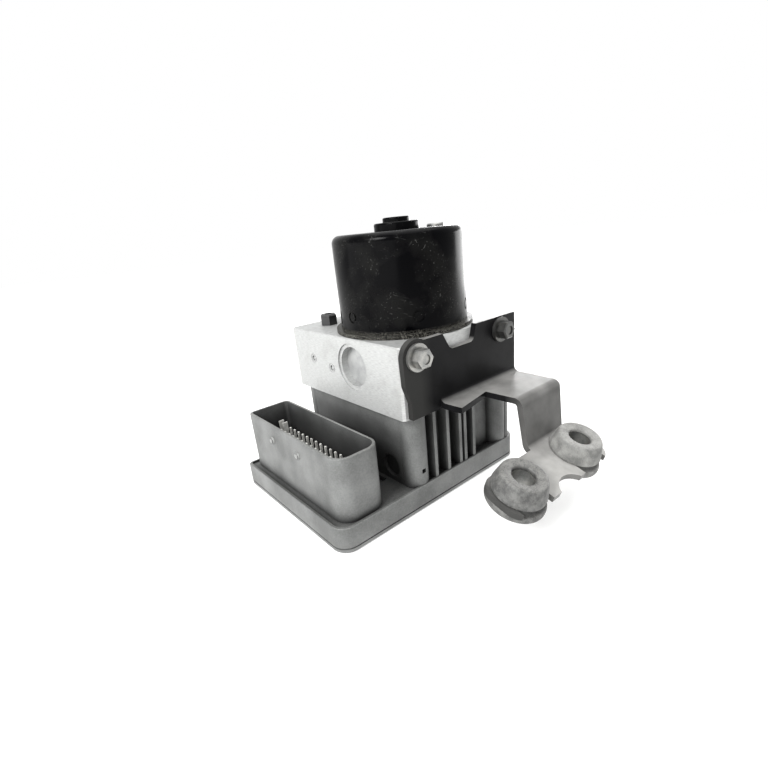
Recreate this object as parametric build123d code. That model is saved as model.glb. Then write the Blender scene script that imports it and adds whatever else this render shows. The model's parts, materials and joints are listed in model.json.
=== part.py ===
from build123d import *
import math
import os

# Valve grid, millimetres: it sets the block's size, and the block sets the control unit's
valve_pitch = 16.5
valve_gap = 1.9
valve_radius = 4.8
tube_radius = 3.6
coil_radius = (valve_pitch - valve_gap) / 2

# Hydraulic block, z up from the flat underside of the control unit
block_left_margin = 20.0
block_right_margin = 16.5
block_front_margin = 20.0
block_back_margin = 42.0
block_length = block_left_margin + 3 * valve_pitch + block_right_margin
block_width = block_front_margin + 2 * valve_pitch + block_back_margin
block_bottom = 51.5
block_height = 35.5
block_top = block_bottom + block_height

# Control unit footprint and levels
collar_ledge = 5.0
collar_length = 25.5
collar_gap = 12.0
right_ledge = 1.5
front_ledge = 0.5
base_length = collar_ledge + collar_length + collar_gap + block_length + right_ledge
base_width = block_width + front_ledge + right_ledge
base_corner = 8.0
back_corner = 3.0
lip_width = 1.6
lip_height = 1.2
cover_height = 3.0
seam_depth = 0.8
skirt_top = 13.5
skirt_wall = 2.5
board_bottom = 4.6
board_thickness = 1.6
board_top = board_bottom + board_thickness
cavity_top = skirt_top - 2.5
block_right = base_length / 2 - right_ledge
block_left = block_right - block_length
block_back = base_width / 2 - right_ledge
block_front = block_back - block_width

# Upper box of the housing that meets the block
box_left = block_left + 4.0
box_right = block_right - 4.0
box_front = block_front + 7.0
box_back = block_back - 4.0
box_wall = 2.5
seal_width = 1.2
floor_top = block_bottom - 21.0
floor_thickness = 3.0
column_radius = 6.8
column_columns = [block_left + 10.5, block_right - 10.5]
column_rows = [block_front + 7.0, block_back - 7.0]
column_places = [(x, y) for x in column_columns for y in column_rows]
rib_offsets = [19.0, 28.5, 38.0, 42.0, 49.0, 78.5]
rib_width = 2.0
screw_seat = skirt_top + 2.5
screw_depth = 11.0
screw_radius = 2.0

# Plug collar of the cable connector
collar_left = collar_ledge - base_length / 2
collar_right = collar_left + collar_length
collar_half = base_width / 2 - 3.3
collar_top = block_bottom - 6.5
collar_wall = 1.5
collar_corner = 8.0
collar_back_corner = 3.5
arch_radius = 6.0
collar_floor = skirt_top + 6.5
pin_width = 1.0
pin_pitch = 4.6
pin_tip = collar_top - 10.5
blade_width = 3.0
blade_thickness = 0.8
pin_clearance = 0.05

# Motor
motor_x = block_left + 38.0
motor_y = block_front + 37.0
can_radius = 34.2
can_wall = 1.8
can_height = 49.0
can_top = block_top + can_height
flange_radius = can_radius + 2.8
flange_thickness = 2.0
boss_radius = 11.7
boss_height = 4.0
cap_radius = 7.0
cap_height = 2.4
shaft_radius = 4.0
running_clearance = 0.03
magnet_thickness = 6.4
air_gap = 1.5
magnet_radius = can_radius - can_wall - magnet_thickness
armature_radius = magnet_radius - air_gap
magnet_bottom = block_top + 11.0
magnet_top = can_top - can_wall - 5.2
wedge_run = 45.0
wedge_half = 38.0
wedge_reach = 60.0
core_bottom = block_top + 15.0
core_top = can_top - 10.0
slot_inner = 13.0
slot_half = 2.6
slot_mouth = 1.0
tooth_tip = 2.5
winding_gap = 0.3
winding_inset = 0.5
winding_top = 5.0
winding_bottom = 4.5
winding_inner = 9.0
winding_foot_inner = 11.0
commutator_radius = 10.0
commutator_bottom = block_top + 3.5
commutator_top = block_top + 10.0
brush_width = 6.0
brush_reach = magnet_radius + 1.0
brush_back = 18.0
bearing_radius = boss_radius - 2.1
lower_bearing_radius = 13.0
bearing_height = 7.0
upper_bearing_top = can_top + boss_height - 1.5
ear_angles = [25.0, 90.0]
ear_reach = can_radius + 7.0
ear_radius = 6.0
motor_screw_radius = 2.5
motor_screw_depth = 10.0
stake_radius = 3.0
vent_x = motor_x + 15.3
vent_y = motor_y - 12.9
vent_stem = 2.5

# Crank chamber and pump
throw = 1.0
crank_radius = 7.0
ring_radius = 11.0
chamber_radius = ring_radius + throw + 0.8
pump_z = block_top - 15.0
chamber_bottom = pump_z - 9.0
shaft_bottom = pump_z - 6.0
crank_bottom = pump_z - 5.5
crank_top = pump_z + 6.0
ring_height = 10.5
contact_clearance = 0.05
piston_radius = 4.0
piston_length = 11.0
sleeve_radius = 7.0
plug_radius = 10.5
plug_recess = 4.5
plug_seat = motor_x - block_left - plug_recess - 3.0
sleeve_end = chamber_radius + 9.2
sweep_radius = ring_radius + throw
tip_distance = sweep_radius + contact_clearance

# Valves and accumulators
valve_columns = [block_left + block_left_margin + valve_pitch * i for i in range(4)]
valve_rows = [block_front + block_front_margin + valve_pitch * i for i in range(3)]
valve_top = pump_z - plug_radius - 1.5
accumulator_places = [(block_left + 27.5, block_back - 19.0), (block_left + 57.5, block_back - 19.0)]
accumulator_radius = 9.5
accumulator_depth = 16.5
slide_clearance = 0.05

# Threaded ports on the hidden long side
port_depth = 9.0
outlet_radius = 4.5
outlet_places = [block_left + 32.5 + 14.0 * i for i in range(4)]
outlet_z = block_top - 9.0
inlet_radius = 5.5
inlet_places = [block_left + 39.5, block_right - 18.5]
inlet_z = block_bottom + 11.0

# Small closures of drilled passages, and the motor's contact that crosses the block
hex_plug_x = block_left + 17.0
hex_plug_y = block_back - 15.0
hex_stem = 3.9
contact_x = motor_x + 6.0
contact_y = motor_y + can_radius - 7.7
contact_radius = 3.5
blade_offset = 1.2
ball_radius = 1.6
ball_recess = 0.3
ball_places = [(block_front + 74.4, block_bottom + 19.7), (block_front + 56.5, block_bottom + 16.8)]

# Bracket
sheet = 3.0
plate_face = block_front - sheet
bolt_places = [block_left + 8.0, block_right - 16.5]
bolt_z = block_top - 5.5
bolt_radius = 3.0
bolt_length = 11.0
plate_right = block_right - 3.5
strap_middle = block_right - 21.6
strap_width = 34.6
plate_top = block_top + 1.5
shelf_top = block_bottom + 3.5
shelf_bottom = shelf_top - sheet
strap_top_y = block_front - 31.0

# The foot slopes down outwards; its heights are measured square to its upper face, at the stud bushes
foot_tilt = 20.0
foot_y = block_front - 47.8
foot_z = block_bottom - 25.4
foot_reach = 12.0
grommet_places = [block_left + 20.0, block_right - 19.0]
groove_radius = 10.0
grommet_radius = 12.6
grommet_flange = 13.8
grommet_top = 9.4
grommet_bottom = -6.6
dish_depth = 3.0
fold_back = grommet_radius + 0.9
bush_radius = 6.0
bush_bore = 5.2
foot_left = grommet_places[0] - groove_radius - 3.0
foot_right = grommet_places[1] + groove_radius + 6.0
foot_frame = Pos(0, foot_y, foot_z) * Rot(foot_tilt, 0, 0)


def boxed(x0, x1, y0, y1, z0, z1):
    middle = Pos((x0 + x1) / 2, (y0 + y1) / 2, (z0 + z1) / 2)
    return middle * Box(x1 - x0, y1 - y0, z1 - z0)


def post(x, y, z0, z1, radius):
    return Pos(x, y, (z0 + z1) / 2) * Cylinder(radius, z1 - z0)


def rod_x(x0, x1, y, z, radius):
    return Pos((x0 + x1) / 2, y, z) * Rot(0, 90, 0) * Cylinder(radius, x1 - x0)


def rod_y(x, y0, y1, z, radius):
    return Pos(x, (y0 + y1) / 2, z) * Rot(90, 0, 0) * Cylinder(radius, y1 - y0)


def slab(x0, x1, y0, y1, z0, z1, radius):
    face = RectangleRounded(x1 - x0, y1 - y0, radius)
    return Pos((x0 + x1) / 2, (y0 + y1) / 2, z0) * extrude(face, z1 - z0)


def cornered(x0, x1, y0, y1, z0, z1, front, back):
    face = Rectangle(x1 - x0, y1 - y0)
    face = fillet(face.vertices().sort_by(Axis.Y)[:2], front)
    face = fillet(face.vertices().sort_by(Axis.Y)[-2:], back)
    return Pos((x0 + x1) / 2, (y0 + y1) / 2, z0) * extrude(face, z1 - z0)


def turned(x, y, points):
    face = make_face(Polyline(*[(r, 0, z) for r, z in points], close=True))
    return Pos(x, y, 0) * revolve(face, Axis.Z, 360)


def plan_prism(points, z0, z1):
    face = make_face(Polyline(*[(px, py, z0) for px, py in points], close=True))
    return extrude(face, z1 - z0, dir=(0, 0, 1))


def coil_spring(radius, wire, height, turns):
    path = Helix(height / turns, height, radius)
    section = Plane(path @ 0, z_dir=path % 0) * Rectangle(wire, wire)
    return sweep(section, path=path, is_frenet=True)


def valve_places():
    return [(x, y) for x in valve_columns for y in valve_rows]


def pin_places():
    places = []
    for row in range(3):
        for i in range(12):
            shift = pin_pitch / 2 * (row % 2)
            places.append((collar_left + 7.5 + pin_pitch * row, 23.2 - collar_half + pin_pitch * i + shift))
    return places


def blade_places():
    return [(collar_left + x, collar_half - y) for x in (8.5, 17.0) for y in (9.6, 5.0)]


# Aluminium block with its bores
def hydraulic_block():
    body = boxed(block_left, block_right, block_front, block_back, block_bottom, block_top)
    body = chamfer(body.edges().filter_by(Axis.Z), 1.2)
    body = chamfer(body.faces().sort_by(Axis.Z)[-1].edges(), 0.6)
    body -= post(motor_x, motor_y, block_top - bearing_height, block_top, lower_bearing_radius)
    body -= post(motor_x, motor_y, chamber_bottom, block_top, chamber_radius)
    body -= rod_x(motor_x, block_right, motor_y, pump_z, sleeve_radius)
    body -= rod_x(block_left, motor_x, motor_y, pump_z, sleeve_radius)
    body -= rod_x(motor_x + plug_seat, block_right, motor_y, pump_z, plug_radius)
    body -= rod_x(block_left, motor_x - plug_seat, motor_y, pump_z, plug_radius)
    body -= rod_x(block_left, block_left + 0.8, motor_y, pump_z, plug_radius + 2.0)
    for x, y in valve_places():
        body -= post(x, y, block_bottom, valve_top, valve_radius)
    for x, y in accumulator_places:
        body -= post(x, y, block_bottom, block_bottom + accumulator_depth, accumulator_radius)
    for x in outlet_places:
        body -= rod_y(x, block_back - port_depth, block_back, outlet_z, outlet_radius)
        body -= rod_y(x, block_back - port_depth - 3.5, block_back, outlet_z, 1.5)
    for x in inlet_places:
        body -= rod_y(x, block_back - port_depth, block_back, inlet_z, inlet_radius)
    for x in bolt_places:
        body -= rod_y(x, block_front, block_front + bolt_length + 1.0, bolt_z, bolt_radius)
    for x, y in column_places:
        body -= post(x, y, block_bottom, block_bottom + screw_depth, screw_radius)
    for x, y in ear_places():
        body -= post(x, y, block_top - motor_screw_depth, block_top, motor_screw_radius)
    body -= post(hex_plug_x, hex_plug_y, block_top - 7.0, block_top, hex_stem)
    body -= post(contact_x, contact_y, block_bottom, block_top, contact_radius)
    for y, z in ball_places:
        body -= rod_x(block_left, block_left + ball_recess + 2 * ball_radius, y, z, ball_radius)
        groove = rod_x(block_left, block_left + 0.3, y, z, ball_radius + 1.1)
        body -= groove - rod_x(block_left, block_left + 0.3, y, z, ball_radius + 0.6)
    return body


def ear_places():
    places = []
    for angle in ear_angles:
        turn = math.radians(angle)
        places.append((motor_x + ear_reach * math.cos(turn), motor_y + ear_reach * math.sin(turn)))
    return places


def ball_plugs():
    balls = [Pos(block_left + ball_recess + ball_radius, y, z) * Sphere(ball_radius) for y, z in ball_places]
    return Compound(children=balls)


def hex_plug():
    head = extrude(RegularPolygon(4.5, 6, major_radius=False), 6.2)
    head = chamfer(head.faces().sort_by(Axis.Z)[-1].edges(), 0.8)
    head -= post(0, 0, 3.0, 6.2, 2.2)
    return Pos(hex_plug_x, hex_plug_y, block_top) * head + post(
        hex_plug_x, hex_plug_y, block_top - 7.0, block_top, hex_stem)


# Motor shell with its bearing seat and flange
def motor_can():
    outer = [(0, block_top), (flange_radius, block_top), (flange_radius, block_top + flange_thickness),
             (can_radius, block_top + flange_thickness), (can_radius, can_top), (boss_radius, can_top),
             (boss_radius, can_top + boss_height), (cap_radius, can_top + boss_height),
             (cap_radius, can_top + boss_height + cap_height), (0, can_top + boss_height + cap_height)]
    body = turned(0, 0, outer)
    rims = body.edges().filter_by(GeomType.CIRCLE)
    top_rim = [e for e in rims if abs(e.radius - can_radius) < 0.01 and abs(e.center().Z - can_top) < 0.01]
    body = fillet(top_rim, 4.0)
    rims = body.edges().filter_by(GeomType.CIRCLE)
    boss_rim = [e for e in rims if abs(e.radius - boss_radius) < 0.01 and e.center().Z > can_top + 1]
    body = fillet(boss_rim, 1.0)
    rims = body.edges().filter_by(GeomType.CIRCLE)
    cap_base = can_top + boss_height
    cap_rim = [e for e in rims if abs(e.radius - cap_radius) < 0.01 and e.center().Z > cap_base + 1]
    body = fillet(cap_rim, 0.8)
    body -= post(0, 0, block_top, can_top - can_wall, can_radius - can_wall)
    body -= post(0, 0, can_top - 4.5, upper_bearing_top, bearing_radius)
    body = Pos(motor_x, motor_y, 0) * body
    for x, y in ear_places():
        ear = post(x, y, block_top, block_top + flange_thickness, ear_radius)
        joint = boxed(-10, 0, -ear_radius, ear_radius, block_top, block_top + flange_thickness)
        turn = math.degrees(math.atan2(y - motor_y, x - motor_x))
        ear += Pos(x, y, 0) * Rot(0, 0, turn) * joint
        ear -= post(motor_x, motor_y, block_top, block_top + flange_thickness, can_radius - 0.5)
        body += ear
        body -= post(x, y, block_top, block_top + flange_thickness, motor_screw_radius + 0.2)
    for i in range(6):
        mark = rod_x(can_radius - 0.6, can_radius + 1.0, 0, block_top + 10.0, stake_radius)
        mark -= rod_x(can_radius - 0.6, can_radius + 1.0, 0, block_top + 10.0, stake_radius - 1.0)
        body -= Pos(motor_x, motor_y, 0) * Rot(0, 0, 60 * i) * mark
    body -= post(vent_x, vent_y, can_top - can_wall, can_top, vent_stem)
    return body


def vent_plug():
    cap = post(vent_x, vent_y, can_top, can_top + 1.6, 4.6)
    cap = chamfer(cap.faces().sort_by(Axis.Z)[-1].edges(), 0.5)
    return cap + post(vent_x, vent_y, can_top - can_wall - 1.0, can_top, vent_stem)


def motor_screws():
    screws = []
    for x, y in ear_places():
        seat = block_top + flange_thickness
        screw = post(x, y, seat, seat + 5.0, motor_screw_radius + 1.7)
        screw += post(x, y, block_top - motor_screw_depth, seat, motor_screw_radius)
        socket = extrude(RegularPolygon(2.0, 6, major_radius=False), 2.5)
        screw -= Pos(x, y, seat + 2.5) * socket
        screws.append(screw)
    return Compound(children=screws)


def field_magnets():
    ring = post(0, 0, magnet_bottom, magnet_top, can_radius - can_wall)
    ring -= post(0, 0, magnet_bottom, magnet_top, magnet_radius)
    magnets = []
    corners = [(0, 0), (wedge_run, -wedge_half), (wedge_reach, 0), (wedge_run, wedge_half)]
    for i in range(4):
        wedge = plan_prism(corners, magnet_bottom, magnet_top)
        magnets.append(Pos(motor_x, motor_y, 0) * (ring & (Rot(0, 0, 90 * i) * wedge)))
    return Compound(children=magnets)


def armature_core():
    body = post(0, 0, core_bottom, core_top, armature_radius)
    body -= post(0, 0, core_bottom, core_top, shaft_radius)
    for i in range(10):
        slot = boxed(slot_inner, armature_radius - tooth_tip, -slot_half, slot_half, core_bottom, core_top)
        mouth_inner = armature_radius - tooth_tip - slot_mouth
        mouth = boxed(mouth_inner, armature_radius + air_gap, -slot_mouth, slot_mouth, core_bottom, core_top)
        body -= Rot(0, 0, 36 * i) * (slot + mouth)
    return Pos(motor_x, motor_y, 0) * body


def armature_windings():
    reach = armature_radius - tooth_tip
    half = slot_half - winding_gap
    top = core_top + winding_top
    bottom = core_bottom - winding_bottom
    body = post(0, 0, core_top, top, reach) - post(0, 0, core_top, top, winding_inner)
    body += post(0, 0, bottom, core_bottom, reach)
    body -= post(0, 0, bottom, core_bottom, winding_foot_inner)
    for i in range(10):
        side = boxed(slot_inner + winding_inset, reach - winding_inset, -half, half, core_bottom, core_top)
        body += Rot(0, 0, 36 * i) * side
    return Pos(motor_x, motor_y, 0) * body


def motor_shaft():
    body = post(motor_x, motor_y, shaft_bottom, can_top + 1.5, shaft_radius)
    return chamfer(body.edges().filter_by(GeomType.CIRCLE), 0.4)


def commutator():
    body = post(0, 0, commutator_bottom, commutator_top, commutator_radius)
    body -= post(0, 0, commutator_bottom, commutator_top, shaft_radius)
    for i in range(10):
        groove = boxed(commutator_radius - 0.7, commutator_radius + 1.0, -0.3, 0.3, commutator_bottom,
                       commutator_top)
        body -= Rot(0, 0, 36 * i + 18) * groove
    return Pos(motor_x, motor_y, 0) * body


def bearing(radius, z0):
    body = post(0, 0, z0, z0 + bearing_height, radius)
    body -= post(0, 0, z0, z0 + bearing_height, shaft_radius + running_clearance)
    middle = (radius + shaft_radius) / 2
    for level in (z0, z0 + bearing_height - 0.6):
        body -= post(0, 0, level, level + 0.6, middle + 1.3) - post(0, 0, level, level + 0.6, middle - 1.3)
    return Pos(motor_x, motor_y, 0) * body


def brush_places():
    return [45.0, 135.0, 225.0, 315.0]


def brush_plate():
    body = post(0, 0, block_top, block_top + 2.0, can_radius - can_wall) - post(
        0, 0, block_top, block_top + 2.0, lower_bearing_radius + 0.2)
    for angle in brush_places():
        half = brush_width / 2
        holder = boxed(commutator_radius + 1.5, brush_reach, -half - 1.0, half + 1.0, block_top + 2.0,
                       block_top + 10.5)
        holder -= boxed(commutator_radius + 1.0, brush_reach - 1.0, -half, half, block_top + 3.0,
                        block_top + 9.5)
        body += Rot(0, 0, angle) * holder
    body = Pos(motor_x, motor_y, 0) * body
    for side in (-blade_offset, blade_offset):
        body -= boxed(contact_x + side - 0.4, contact_x + side + 0.4, contact_y - 0.6, contact_y + 0.6,
                      block_top, block_top + 2.0)
    return body


def brushes():
    blocks = []
    face = post(0, 0, commutator_bottom - 5.0, commutator_top + 5.0, commutator_radius + contact_clearance)
    half = brush_width / 2
    for angle in brush_places():
        block = boxed(commutator_radius - 2.0, brush_back, -half, half, block_top + 3.0, block_top + 9.5)
        blocks.append(Pos(motor_x, motor_y, 0) * Rot(0, 0, angle) * (block - face))
    return Compound(children=blocks)


def brush_springs():
    springs = []
    for angle in brush_places():
        length = brush_reach - 1.0 - brush_back - 1.2
        spring = Rot(0, 90, 0) * coil_spring(2.0, 0.5, length, 4)
        spring = Pos(brush_back + 0.6, 0, block_top + 6.25) * spring
        springs.append(Pos(motor_x, motor_y, 0) * Rot(0, 0, angle) * spring)
    return Compound(children=springs)


# Crank on the shaft's lower end
def eccentric():
    body = post(motor_x, motor_y + throw, crank_bottom, crank_top, crank_radius)
    return body - post(motor_x, motor_y, crank_bottom, crank_top, shaft_radius)


def eccentric_ring():
    low = pump_z - ring_height / 2 + 0.25
    body = post(motor_x, motor_y + throw, low, low + ring_height, ring_radius)
    return body - post(motor_x, motor_y + throw, low, low + ring_height, crank_radius)


def pump_piston(side):
    inner = motor_x + side * tip_distance
    outer = inner + side * piston_length
    body = rod_x(min(inner, outer), max(inner, outer), motor_y, pump_z, piston_radius)
    return chamfer(body.edges().filter_by(GeomType.CIRCLE), 0.4)


def pump_sleeve(side):
    inner = motor_x + side * (chamber_radius + 0.8)
    outer = motor_x + side * sleeve_end
    body = rod_x(min(inner, outer), max(inner, outer), motor_y, pump_z, sleeve_radius)
    bore = rod_x(min(inner, outer), max(inner, outer), motor_y, pump_z, piston_radius + running_clearance)
    return body - bore


def pump_spring(side):
    start = motor_x + side * (tip_distance + piston_length + 0.3)
    length = plug_seat - tip_distance - piston_length - 0.6
    spring = coil_spring(3.0, 0.7, length, 4)
    return Pos(start, motor_y, pump_z) * Rot(0, 90 * side, 0) * spring


def pump_plug(side):
    inner = motor_x + side * plug_seat
    outer = block_left + plug_recess if side < 0 else block_right - plug_recess
    return rod_x(min(inner, outer), max(inner, outer), motor_y, pump_z, plug_radius)


# Solenoid valves, their coils and the low pressure accumulators
def solenoid_valves():
    valves = []
    for x, y in valve_places():
        valve = post(x, y, block_bottom, valve_top, valve_radius)
        valve += post(x, y, block_bottom - 3.0, block_bottom, valve_radius + 1.0)
        valve += post(x, y, floor_top + 3.6, block_bottom - 3.0, tube_radius)
        valve += Pos(x, y, floor_top + 3.6) * Sphere(tube_radius)
        valves.append(valve)
    return Compound(children=valves)


def solenoid_coils():
    coils = []
    for x, y in valve_places():
        coil = post(x, y, floor_top, block_bottom - 3.0, coil_radius)
        coil -= post(x, y, floor_top + 1.0, block_bottom - 6.0, coil_radius + 1) - post(
            x, y, floor_top + 1.0, block_bottom - 6.0, coil_radius - 0.6)
        coil -= post(x, y, floor_top, block_bottom - 3.0, tube_radius + 0.1)
        coils.append(coil)
    return Compound(children=coils)


def terminal_places():
    places = []
    for x, y in valve_places():
        places.append((x - 2.0, y + 5.4))
        places.append((x + 2.0, y + 5.4))
    return places


def coil_terminals():
    pins = []
    for x, y in terminal_places():
        pins.append(boxed(x - 0.4, x + 0.4, y - 0.3, y + 0.3, board_top, floor_top))
    return Compound(children=pins)


def accumulator_piston(place):
    x, y = place
    top = block_bottom + accumulator_depth - 0.5
    body = post(x, y, top - 5.0, top, accumulator_radius - slide_clearance)
    body -= post(x, y, top - 5.0, top - 2.0, accumulator_radius - 2.0)
    return body


def accumulator_spring(place):
    x, y = place
    top = block_bottom + accumulator_depth - 0.5
    low = block_bottom + 2.0
    spring = coil_spring(6.0, 1.0, top - 2.0 - low - 1.2, 3)
    return Pos(x, y, low + 0.6) * spring


def accumulator_caps():
    caps = []
    for x, y in accumulator_places:
        cap = post(x, y, block_bottom, block_bottom + 2.0, accumulator_radius)
        cap -= post(x, y, block_bottom, block_bottom + 0.8, 3.0)
        caps.append(cap)
    return Compound(children=caps)


def motor_contact():
    body = post(contact_x, contact_y, floor_top, block_top, contact_radius)
    for side in (-blade_offset, blade_offset):
        body += boxed(contact_x + side - 0.4, contact_x + side + 0.4, contact_y - 0.6, contact_y + 0.6,
                      board_top, block_top + 4.0)
    return body


# Control unit housing with the connector collar
def ecu_housing():
    half_l = base_length / 2
    half_w = base_width / 2
    body = cornered(-half_l, half_l, -half_w, half_w, cover_height, skirt_top, base_corner, back_corner)
    body = fillet(body.faces().sort_by(Axis.Z)[-1].edges(), 0.6)
    body -= cornered(lip_width - half_l, half_l - lip_width, lip_width - half_w, half_w - lip_width,
                     skirt_top - lip_height, skirt_top, base_corner - lip_width, back_corner - lip_width)
    collar = cornered(collar_left, collar_right, -collar_half, collar_half, cavity_top, collar_top,
                      collar_corner, collar_back_corner)
    body += fillet(collar.faces().sort_by(Axis.Z)[-1].edges(), 0.5)
    body += boxed(box_left, box_right, box_front, box_back, cavity_top, block_bottom)
    body -= cornered(-half_l + skirt_wall, half_l - skirt_wall, -half_w + skirt_wall, half_w - skirt_wall,
                     cover_height, cavity_top, base_corner - skirt_wall, 1.0)
    body -= boxed(box_left + box_wall, box_right - box_wall, box_front + box_wall, box_back - box_wall,
                  cavity_top, floor_top - floor_thickness)
    body -= boxed(box_left + box_wall, box_right - box_wall, box_front + box_wall, box_back - box_wall,
                  floor_top, block_bottom)
    for offset in rib_offsets:
        body += boxed(block_left + offset, block_left + offset + rib_width, block_front + 0.5, box_front,
                      cavity_top, block_bottom - 1.5)
    for x, y in column_places:
        body += post(x, y, cavity_top, block_bottom, column_radius)
        body -= post(x, y, cover_height, screw_seat, screw_radius + 2.1)
        body -= post(x, y, screw_seat, block_bottom, screw_radius + 0.2)
    body -= cornered(collar_left + collar_wall, collar_right - collar_wall, -collar_half + collar_wall,
                     collar_half - collar_wall, collar_floor, collar_top, collar_corner - collar_wall,
                     collar_back_corner - collar_wall)
    body -= rod_x(box_left, box_left + box_wall - 0.7, block_front + 17.5, skirt_top + 7.5, arch_radius)
    tray = boxed(collar_right + 0.5, box_left - 0.5, block_front + 8.0, block_back - 6.0,
                 cavity_top - 3.0, cavity_top)
    body += tray
    for low, high in ((20.5, 45.0), (47.0, 66.5), (68.5, 87.5)):
        body -= boxed(collar_right + 2.0, box_left - 2.0, block_front + low, block_front + high,
                      cavity_top - 1.5, skirt_top)
    for y in (17.0, -9.6):
        stud = rod_x(collar_left - 1.2, collar_left, y, collar_top - 8.6, 1.6)
        body += fillet(stud.faces().sort_by(Axis.X)[0].edges(), 0.5)
    latch_x = column_columns[0]
    body -= boxed(latch_x - 1.2, latch_x + 1.2, block_front, block_front + 2.4, skirt_top + 6.3,
                  skirt_top + 8.7)
    hole = pin_width / 2 + pin_clearance
    for x, y in pin_places():
        body -= boxed(x - hole, x + hole, y - hole, y + hole, cavity_top, collar_floor)
    for x, y in blade_places():
        body -= boxed(x - blade_width / 2 - 0.1, x + blade_width / 2 + 0.1, y - blade_thickness / 2 - 0.1,
                      y + blade_thickness / 2 + 0.1, cavity_top, collar_floor)
    for x, y in terminal_places():
        body -= boxed(x - 0.5, x + 0.5, y - 0.4, y + 0.4, floor_top - floor_thickness, floor_top)
    for side in (-blade_offset, blade_offset):
        body -= boxed(contact_x + side - 0.5, contact_x + side + 0.5, contact_y - 0.7, contact_y + 0.7,
                      floor_top - floor_thickness, floor_top)
    body -= seal_ring()
    return body


def seal_ring():
    line = box_wall / 2
    out = line - seal_width / 2
    inside = line + seal_width / 2
    outer = boxed(box_left + out, box_right - out, box_front + out, box_back - out,
                  block_bottom - seal_width, block_bottom)
    inner = boxed(box_left + inside, box_right - inside, box_front + inside, box_back - inside,
                  block_bottom - seal_width, block_bottom)
    ring = outer - inner
    for x, y in column_places:
        ring -= post(x, y, block_bottom - seal_width, block_bottom, column_radius)
    return ring


def ecu_screws():
    screws = []
    for x, y in column_places:
        head = screw_seat - 3.5
        screw = post(x, y, head, screw_seat, screw_radius + 1.8)
        screw += post(x, y, screw_seat, block_bottom + screw_depth, screw_radius)
        screw -= Pos(x, y, head) * extrude(RegularPolygon(1.7, 6), 2.0)
        screws.append(screw)
    return Compound(children=screws)


def ecu_cover():
    half_l = base_length / 2
    half_w = base_width / 2
    seam = cover_height - seam_depth
    body = cornered(-half_l, half_l, -half_w, half_w, 0.0, seam, base_corner, back_corner)
    body = chamfer(body.faces().sort_by(Axis.Z)[0].edges(), 0.8)
    half_l -= seam_depth
    half_w -= seam_depth
    return body + cornered(-half_l, half_l, -half_w, half_w, seam, cover_height, base_corner - seam_depth,
                           back_corner - seam_depth)


def board_stands():
    stands = []
    for x in (7.0 - base_length / 2, base_length / 2 - 7.0):
        for y in (8.5 - base_width / 2, base_width / 2 - 8.5):
            stands.append(post(x, y, cover_height, board_bottom, 3.0))
    return Compound(children=stands)


def circuit_board():
    half_l = base_length / 2 - skirt_wall - 1.0
    half_w = base_width / 2 - skirt_wall - 1.0
    return slab(-half_l, half_l, -half_w, half_w, board_bottom, board_top, 5.0)


def board_parts():
    processor = boxed(-30, -14, -34, -18, board_top, board_top + 1.6)
    driver = boxed(-30, -20, 20, 30, board_top, board_top + 1.2)
    return Compound(children=[processor, driver])


def connector_pins():
    half = pin_width / 2
    pins = []
    for x, y in pin_places():
        pin = boxed(x - half, x + half, y - half, y + half, board_top, pin_tip)
        pins.append(chamfer(pin.faces().sort_by(Axis.Z)[-1].edges(), 0.25))
    for x, y in blade_places():
        pins.append(boxed(x - blade_width / 2, x + blade_width / 2, y - blade_thickness / 2,
                          y + blade_thickness / 2, board_top, pin_tip + 1.0))
    return Compound(children=pins)


# Bent sheet bracket on the block's long side
def foot_point(along, up):
    turn = math.radians(foot_tilt)
    y = foot_y + along * math.cos(turn) - up * math.sin(turn)
    z = foot_z + along * math.sin(turn) + up * math.cos(turn)
    return (y, z)


def arm_side():
    turn = math.radians(foot_tilt)
    fold = foot_point(fold_back, 0)
    length = math.hypot(strap_top_y - fold[0], shelf_top - fold[1])
    run = (strap_top_y - fold[0]) / length
    rise = (shelf_top - fold[1]) / length
    start = (fold[0] + sheet * rise, fold[1] - sheet * run)
    across = rise * math.cos(turn) - run * math.sin(turn)
    low = -sheet * (1 - rise * math.sin(turn) - run * math.cos(turn)) / across
    high = (shelf_bottom - start[1]) / rise
    return [(block_front, shelf_top + 7.0), (plate_face, shelf_top + 7.0), (plate_face, shelf_top),
            (strap_top_y, shelf_top), fold, foot_point(-foot_reach, 0), foot_point(-foot_reach, -sheet),
            (start[0] + low * run, start[1] + low * rise), (start[0] + high * run, shelf_bottom),
            (block_front, shelf_bottom)]


def bracket_plate():
    left = bolt_places[0]
    notch_floor = plate_top - 8.5
    corners = [(left - 5.0, shelf_bottom), (left - 5.0, shelf_top + 5.0), (left - 8.0, shelf_top + 14.0),
               (left - 8.5, bolt_z), (left, plate_top), (motor_x - 12.5, plate_top),
               (motor_x - 7.5, notch_floor), (motor_x + 9.5, notch_floor), (motor_x + 12.0, plate_top),
               (plate_right, plate_top), (plate_right, shelf_bottom)]
    outline = make_face(Polyline(*[(x, 0, z) for x, z in corners], close=True))
    for x, z in (corners[6], corners[7]):
        outline = fillet(outline.vertices().sort_by_distance((x, 0, z))[0], 3.5)
    plate = Pos(0, block_front, 0) * extrude(outline, sheet, dir=(0, -1, 0))
    plate -= boxed(left - 10.0, left, plate_face, block_front, bolt_z, plate_top + 1.0)
    return plate + rod_y(left, plate_face, block_front, bolt_z, plate_top - bolt_z + 1.5)


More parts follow.
